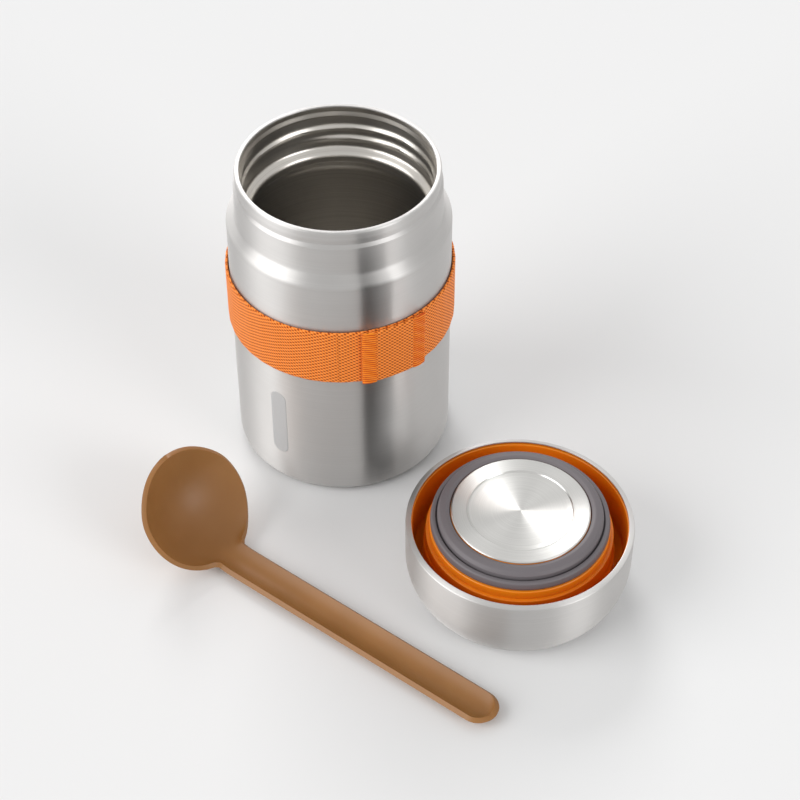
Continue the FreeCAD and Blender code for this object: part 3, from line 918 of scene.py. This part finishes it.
@dataclass
class Lid:
    """The lid, upside down on the table: steel shell, plastic liner, plug and disc."""

    centre: tuple[float, float] = (66.5, -85.9)
    radius: float = 42.0
    height: float = 32.0
    bevel: float = 2.1
    bevel_rise: float = 0.7
    steel: float = 0.6
    dome_rise: float = 17.0
    dome_round: float = 22.0
    crown_round: float = 8.0
    plastic: float = 1.6
    channel_floor: float = 9.4
    liner_in: float = 39.5
    plug_radius: float = 34.6
    thread_depth: float = 0.9
    thread_pitch: float = 5.0
    thread_lift: float = 5.0
    thread_turns: float = 1.6
    thread_half: float = 0.8
    thread_fade: float = 12.0
    plug_ledge: float = 28.0
    carrier_radius: float = 33.3
    carrier_top: float = 31.6
    post_radius: float = 25.6
    plug_height: float = 38.6
    stamp_radius: float = 19.0
    stamp_depth: float = 0.5

    def crown_curve(self, inset: float, steps: int = 10) -> list[Corner]:
        """The crown's rounded edge: a tight arc from the flat and a wide one to the skirt.

        Both arcs share a tangent where they meet, on the line through their centres.

        Args:
            inset: how far the curve lies inside the skin.
            steps: points on each arc.

        Returns:
            Corners without rounding, from the flat up to the skirt.
        """
        gap, rise = self.dome_round - self.crown_round, self.dome_rise - self.crown_round
        wide_east = self.radius - self.dome_round
        flat = wide_east + math.sqrt(gap * gap - rise * rise)
        meet = -math.asin(rise / gap)
        tight = np.linspace(-np.pi / 2, meet, steps)
        wide = np.linspace(meet, 0, steps)[1:]
        small, large = self.crown_round - inset, self.dome_round - inset
        across = np.concatenate([flat + small * np.cos(tight), wide_east + large * np.cos(wide)])
        up = np.concatenate([self.crown_round + small * np.sin(tight),
                             self.dome_rise + large * np.sin(wide)])
        return [(float(a), float(b), 0.0) for a, b in zip(across, up)]

    def shell(self) -> bpy.types.Object:
        """The drawn shell, with the rim turned in to a bright bevel."""
        r, top, t = self.radius, self.height, self.steel
        inner = self.crown_curve(t)[::-1]
        outline = rounded_outline([
            (0, 0, 0), *self.crown_curve(0.0), (r, top, 0.5),
            (r - self.bevel, top + self.bevel_rise, 0.3),
            (r - self.bevel, top + self.bevel_rise - t, 0.1), (r - t, top - t, 0.2),
            *inner, (0, t, 0)], 6)
        return turned_shell("lid_skin", split_runs(outline, 5.0), self.centre, 192)

    def liner(self) -> bpy.types.Object:
        """The moulded liner, with a helical thread standing out of the plug wall."""
        skirt_out, skirt_in, top = self.radius - 0.7, self.liner_in, self.height - 0.7
        plug, floor = self.plug_radius, self.channel_floor
        plug_in, low = plug - self.plastic, floor - self.plastic
        outline = rounded_outline([
            (plug_in, low, 0.2), (skirt_out - 5.7, low, 2.0), (skirt_out - 1.5, 11.9, 6.0),
            (skirt_out, self.dome_rise, 6.0), (skirt_out, top, 0.3), (skirt_in, top, 0.4),
            (skirt_in, floor + 3.6, 3.5), (skirt_in - 3.2, floor, 2.0), (plug, floor, 1.0),
            (plug, self.plug_ledge, 0.35), (plug_in, self.plug_ledge, 0.1)], 7)
        fine = split_runs(outline, 0.6)

        def thread(angle: np.ndarray, radius: np.ndarray, height: np.ndarray) -> np.ndarray:
            """The thread's outward ridge on the plug's outer face."""
            wall = (np.abs(radius - plug) < 0.05) & (height > floor + 2)
            ridge = helical_ridge(angle, height, floor + self.thread_lift, self.thread_pitch,
                                  self.thread_turns, self.thread_half, self.thread_fade)
            return self.thread_depth * ridge * wall

        return turned_shell("lid_lining", fine, self.centre, 224, thread)

    def carrier(self) -> bpy.types.Object:
        """The ring and post on the plug's end."""
        inner = self.post_radius - self.plastic
        seat = self.plug_height - self.steel
        outline = rounded_outline([
            (inner, self.plug_ledge, 0.1), (self.carrier_radius, self.plug_ledge, 0.1),
            (self.carrier_radius, self.carrier_top, 0.5), (self.post_radius, self.carrier_top, 0.2),
            (self.post_radius, seat, 0.2), (inner, seat, 0.2)], 6)
        return turned_shell("plug_ring", split_runs(outline, 3.0), self.centre, 192)

    def disc(self) -> bpy.types.Object:
        """The stamped disc: a flat rim, a sharp little step and a slightly dished middle."""
        top, t, stamp, deep = self.plug_height, self.steel, self.stamp_radius, self.stamp_depth
        edge = self.post_radius - 0.1
        upper = [(edge, top - 0.25, 0.2), (edge - 0.5, top, 0.4), (stamp + 0.9, top, 0.3),
                 (stamp + 0.35, top + 0.1, 0.3), (stamp, top - deep + 0.1, 0.25),
                 (stamp * 0.9, top - deep, 1.0), (0, top - deep, 0)]
        lower = [(0, top - deep - t, 0), (stamp + 0.3, top - deep - t, 0.3),
                 (stamp + deep, top - t, 0.3), (edge, top - t, 0.1)]
        outline = rounded_outline(lower + upper, 7)
        return turned_shell("plug_plate", split_runs(outline, 1.5), self.centre, 224)

    def build(self, brushed: bpy.types.Material, spun: bpy.types.Material,
              orange: bpy.types.Material) -> None:
        """Make and dress the lid's pieces."""
        dress(self.shell(), brushed, Body.LID, "steel_brushed", "lid_shell")
        dress(self.liner(), orange, Body.LID, "lid_plastic", "lid_liner")
        dress(self.carrier(), orange, Body.LID, "lid_plastic", "plug_carrier")
        dress(self.disc(), spun, Body.LID, "steel_polished", "plug_disc")


@dataclass
class Seal:
    """The silicone ring: broad lower lip, narrow groove and a rounded upper band."""

    centre: tuple[float, float] = (66.5, -85.9)
    inner: float = 25.9
    low: float = 31.9
    lip_radius: float = 33.0
    lip_thick: float = 3.4
    band_radius: float = 30.4
    top: float = 38.6

    def ring(self) -> bpy.types.Object:
        """The turned ring."""
        lip_top = self.low + self.lip_thick
        outline = rounded_outline([
            (self.inner, self.low, 0.2), (self.lip_radius - 0.25, self.low, 0.5),
            (self.lip_radius, self.low + 1.2, 0.8), (self.lip_radius - 0.35, lip_top, 0.9),
            (self.band_radius + 0.55, lip_top + 0.1, 0.35),
            (self.band_radius + 0.45, lip_top - 1.4, 0.1), (self.band_radius, lip_top - 1.4, 0.1),
            (self.band_radius, lip_top + 1.4, 0.5), (self.band_radius - 0.9, self.top - 0.7, 1.6),
            (self.inner + 1.4, self.top - 0.05, 1.6), (self.inner, self.top - 0.45, 0.3)], 8)
        return turned_shell("seal_lip_ring", split_runs(outline, 1.5), self.centre, 224)

    def build(self, silicone: bpy.types.Material) -> None:
        """Make and dress the seal."""
        dress(self.ring(), silicone, Body.SEAL, "silicone", "seal_ring")


@dataclass
class Spoon:
    """The one-piece spoon: a tilted round bowl that runs into a gutter-shaped handle."""

    rim: float = 23.2
    depth: float = 11.5
    tilt_degrees: float = 50.5
    wall: float = 1.9
    reach: float = 145.8
    neck: tuple[float, float] = (11.0, 30.3)
    grip: tuple[float, float] = (-22.6, -5.6)
    handle_width: float = 15.5
    handle_sag: float = 4.2
    turn_degrees: float = 37.35
    middle: tuple[float, float] = (-54.3, -68.3)
    table_gap: float = 0.04
    rim_round: float = 0.42
    sharp_degrees: float = 50.0

    def tilt(self, length: np.ndarray) -> np.ndarray:
        """The rim line's tilt: full over the bowl, easing to level over the neck."""
        return math.radians(self.tilt_degrees) * (1 - eased(length, *self.neck))

    def surface(self, along: int = 170, across: int = 33) -> np.ndarray:
        """The spoon's middle skin along its own X axis.

        A station has an edge height and an upright that follow the tilt, a half width w and
        a sag D. The point at q across it is edge + w q sideways - D (1 - q^2) along the
        upright. The bowl's half chord and the handle's half width join as the sides of a
        right triangle do, and so do their sags; the end is a half circle.

        Args:
            along: stations.
            across: points in each station.

        Returns:
            An array of shape along by across by three, in millimetres.
        """
        inset = self.wall / 2
        rim, deep = self.rim - inset, self.depth - inset
        half, gutter = self.handle_width / 2 - inset, self.handle_sag - inset
        last = self.reach - inset
        share = (1 - np.cos(np.linspace(0, np.pi, along))) / 2
        length = -rim + share * (rim + last)
        middles = (length[1:] + length[:-1]) / 2
        step = np.diff(length)
        east = np.concatenate([[0.0], np.cumsum(np.cos(self.tilt(middles)) * step)])
        height = np.concatenate([[0.0], np.cumsum(-np.sin(self.tilt(middles)) * step)])
        grip = eased(length, *self.grip)
        inside = np.clip(1 - (length / rim) ** 2, 0, 1)
        tail = np.sqrt(1 - np.clip((length - last + half) / half, 0, 1) ** 2)
        width = np.hypot(rim * np.sqrt(inside), half * grip) * tail
        sag = np.hypot(deep * inside, gutter * grip) * tail
        q = np.sin(np.linspace(-np.pi / 2, np.pi / 2, across))
        drop = sag[:, None] * (1 - q[None] ** 2)
        lean = self.tilt(length)[:, None]
        east = east - np.interp(0.0, length, east)
        return np.stack([east[:, None] - drop * np.sin(lean), width[:, None] * q[None],
                         height[:, None] - drop * np.cos(lean)], -1)

    def place(self, grid: np.ndarray) -> np.ndarray:
        """Turn the spoon's own frame to its place on the table, resting on its keel."""
        angle = -math.radians(self.turn_degrees)
        x, y, z = grid[..., 0], grid[..., 1], grid[..., 2]
        return np.stack([x * math.cos(angle) - y * math.sin(angle) + self.middle[0],
                         x * math.sin(angle) + y * math.cos(angle) + self.middle[1],
                         z - z.min() + self.wall / 2 + self.table_gap], -1)

    def mesh(self) -> bpy.types.Object:
        """The spoon as a wall of even thickness with a softly rounded rim."""
        grid = self.place(self.surface())
        along, across = grid.shape[:2]
        number = np.arange(along * across).reshape(along, across)
        faces = quads(*(number[c] for c in CELL))
        piece = make_mesh("spoon_moulding", grid.reshape(-1, 3) * MM, faces)
        weld(piece, 0.02)
        shell = piece.modifiers.new("wall", "SOLIDIFY")
        shell.thickness = self.wall * MM
        shell.offset = 0
        shell.use_even_offset = True
        rim = piece.modifiers.new("rim", "BEVEL")
        rim.width = self.wall * self.rim_round * MM
        rim.segments = 3
        rim.limit_method = "ANGLE"
        rim.angle_limit = math.radians(self.sharp_degrees)
        return piece

    def build(self, moulded: bpy.types.Material) -> None:
        """Make and dress the spoon."""
        dress(self.mesh(), moulded, Body.SPOON, "spoon_plastic", "spoon")


@dataclass(frozen=True)
class Lamp:
    """A far soft lamp, with its turn and its spread in degrees."""

    name: str
    strength: float
    turn: tuple[float, float, float]
    spread: float


@dataclass
class Studio:
    """Camera, lamps, floor and the pale surroundings."""

    focal_pixels: float = 2043.7
    image_pixels: float = 800.0
    sensor: float = 36.0
    camera_place: tuple[float, float, float] = (22.545, -583.8, 592.85)
    pitch_degrees: float = 45.0
    floor_half: float = 6000.0
    floor_colour: str = "e9e9e9"
    backdrop: str = "f2f2f2"
    room_strength: float = 0.52
    flag_colour: str = "4a4a4a"
    flag_foot: float = 1.0
    flag_turns: tuple[float, float] = (14.0, 34.0)
    flag_size: tuple[float, float] = (56.0, 124.0)
    lamps: tuple[Lamp, ...] = (
        Lamp("key", 1.0, (-52, -18, 0), 24),
        Lamp("left_box", 1.8, (0, -62, 20), 50),
        Lamp("right_box", 0.85, (24, 62, -12), 30),
    )

    def camera(self) -> None:
        """The photograph's viewpoint: a long lens looking down at 45 degrees."""
        data = bpy.data.cameras.new("camera")
        data.sensor_width = self.sensor
        data.lens = self.focal_pixels / self.image_pixels * data.sensor_width
        data.clip_start = 0.01
        eye = add_object("camera", data)
        eye.location = [p * MM for p in self.camera_place]
        eye.rotation_euler = (math.radians(90 - self.pitch_degrees), 0, 0)
        bpy.context.scene.camera = eye

    def card(self, name: str, points: list[Corner], faces: list[tuple[int, ...]], finish: str,
             colour: str) -> bpy.types.Object:
        """A flat or bent sheet of the studio, matt and of one colour.

        Args:
            name: the sheet's name.
            points: its corners in metres.
            faces: the corners of each face.
            finish: the material's name.
            colour: its hex colour.

        Returns:
            The sheet.
        """
        mesh = bpy.data.meshes.new(name)
        mesh.from_pydata(points, [], faces)
        sheet = add_object(name, mesh)
        material, tree = new_tree(finish)
        finish_tree(tree, add_node(tree, "BsdfDiffuse", {"Color": linear(colour)}))
        mesh.materials.append(material)
        return sheet

    def floor(self) -> None:
        """A wide pale floor that keeps the soft shadows."""
        size = self.floor_half * MM
        points = [(-size, -size, 0), (size, -size, 0), (size, size, 0), (-size, size, 0)]
        self.card("floor", points, [(0, 1, 2, 3)], "paper_floor", self.floor_colour)

    def flag(self) -> None:
        """A dark card bent upright in front of the jar, which only gloss sees.

        It gives the brushed steel the upright dark band that a studio's dark side gives.
        """
        near, tall = (v * MM for v in self.flag_size)
        turns = np.radians(np.linspace(*self.flag_turns, 9))
        foot = [(near * math.sin(t), -near * math.cos(t), self.flag_foot * MM) for t in turns]
        head = [(x, y, tall) for x, y, _ in foot]
        last = len(foot)
        faces = [(i, i + 1, last + i + 1, last + i) for i in range(last - 1)]
        card = self.card("flag", foot + head, faces, "grey_velvet_flag", self.flag_colour)
        card.visible_camera = card.visible_diffuse = card.visible_shadow = False
        card.visible_transmission = False

    def surroundings(self) -> None:
        """A white room for light, whose seen colour is the backdrop's."""
        world = bpy.data.worlds.new("studio")
        bpy.context.scene.world = world
        world.use_nodes = True
        tree = world.node_tree
        tree.nodes.clear()
        path = add_node(tree, "LightPath")
        seen = add_node(tree, "Math", {"operation": "MAXIMUM"},
                        {0: path.outputs["Is Camera Ray"], 1: path.outputs["Is Glossy Ray"]})
        seen = add_node(tree, "Math", {"operation": "MAXIMUM"},
                        {0: seen.outputs[0], 1: path.outputs["Is Transmission Ray"]})
        light = add_node(tree, "Background", {"Color": (1, 1, 1, 1), "Strength": self.room_strength})
        pale = add_node(tree, "Background", {"Color": linear(self.backdrop), "Strength": 1.0})
        mix = add_node(tree, "MixShader", links={0: seen.outputs[0], 1: light.outputs[0],
                                                 2: pale.outputs[0]})
        add_node(tree, "OutputWorld", links={"Surface": mix.outputs[0]})

    def lights(self) -> None:
        """Broad far lamps, so that the floor is lit evenly."""
        for lamp in self.lamps:
            data = bpy.data.lights.new(lamp.name, "SUN")
            data.energy = lamp.strength
            data.angle = math.radians(lamp.spread)
            add_object(lamp.name, data).rotation_euler = [math.radians(t) for t in lamp.turn]

    def build(self) -> None:
        """Set the stage and the camera."""
        self.camera()
        self.floor()
        self.flag()
        self.surroundings()
        self.lights()
        bpy.context.scene.view_settings.view_transform = "Standard"


def hidden_finishes() -> None:
    """Dress the CAD nodes that stay as they are: the pieces shut inside the walls."""
    foil = BrushedSteel("copper_foil_rolled", "c9825a", "b06a44", roughness=0.35,
                        line_mm=0.6, spin=Spin.NONE)
    getter = BrushedSteel("getter_metal_pressed", "7a7a7c", "67676a", roughness=0.55,
                          spin=Spin.NONE)
    solder = BrushedSteel("solder_tin_cast", "9a9a98", "868684", roughness=0.45,
                          line_mm=0.8, spin=Spin.NONE)
    pressed = BrushedSteel("stainless_steel_pressed", "c9c7c4", "b9b7b4", roughness=0.35,
                           spin=Spin.NONE)
    foam = MouldedPlastic("polyurethane_foam", "e6e0cc", "d8d0b8", roughness=0.9,
                          grain_mm=0.8, relief=0.4)
    finishes = {"heat_foil": foil.make(), "outer_bottom": pressed.make(),
                "vacuum_seal": solder.make(), "plug_foam": foam.make()}
    finishes["getter_clip"] = finishes["getter_pill"] = getter.make()
    finishes["lid_pad"] = finishes["plug_foam"]
    for node, material in finishes.items():
        coat(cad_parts[node], material)


def main() -> None:
    """Build every sub-assembly in order."""
    logging.basicConfig(level=logging.INFO, format="%(name)s %(message)s")
    Studio().build()
    brushed = BrushedSteel().make()
    inside = BrushedSteel("stainless_steel_inside", "cfcbc5", "bcb8b2", roughness=0.3,
                          stretch=0.6).make()
    spun = BrushedSteel("stainless_steel_spun", "d4d3d0", "c6c5c2", roughness=0.3,
                        line_mm=0.25).make()
    orange = MouldedPlastic("polypropylene_orange", "f08c16", "ea8410", roughness=0.36,
                            relief=0.04, glow=0.15, glow_mm=2.0).make()
    silicone = MouldedPlastic("silicone_grey", "6c676a", "6a6467", roughness=0.5,
                              grain_mm=0.4, relief=0.06).make()
    spoon_finish = MouldedPlastic("polypropylene_brown_matte", "986834", "8c5e2c",
                                  roughness=0.46, grain_mm=0.35, relief=0.12, glow=0.08,
                                  glow_mm=1.0).make()
    Jar().build(brushed, inside, EtchedPatch().make())
    Strap().build(WovenWebbing().make(), SewingThread().make())
    Lid().build(brushed, spun, orange)
    Seal().build(silicone)
    Spoon().build(spoon_finish)
    hidden_finishes()


if __name__ == "__main__":
    main()
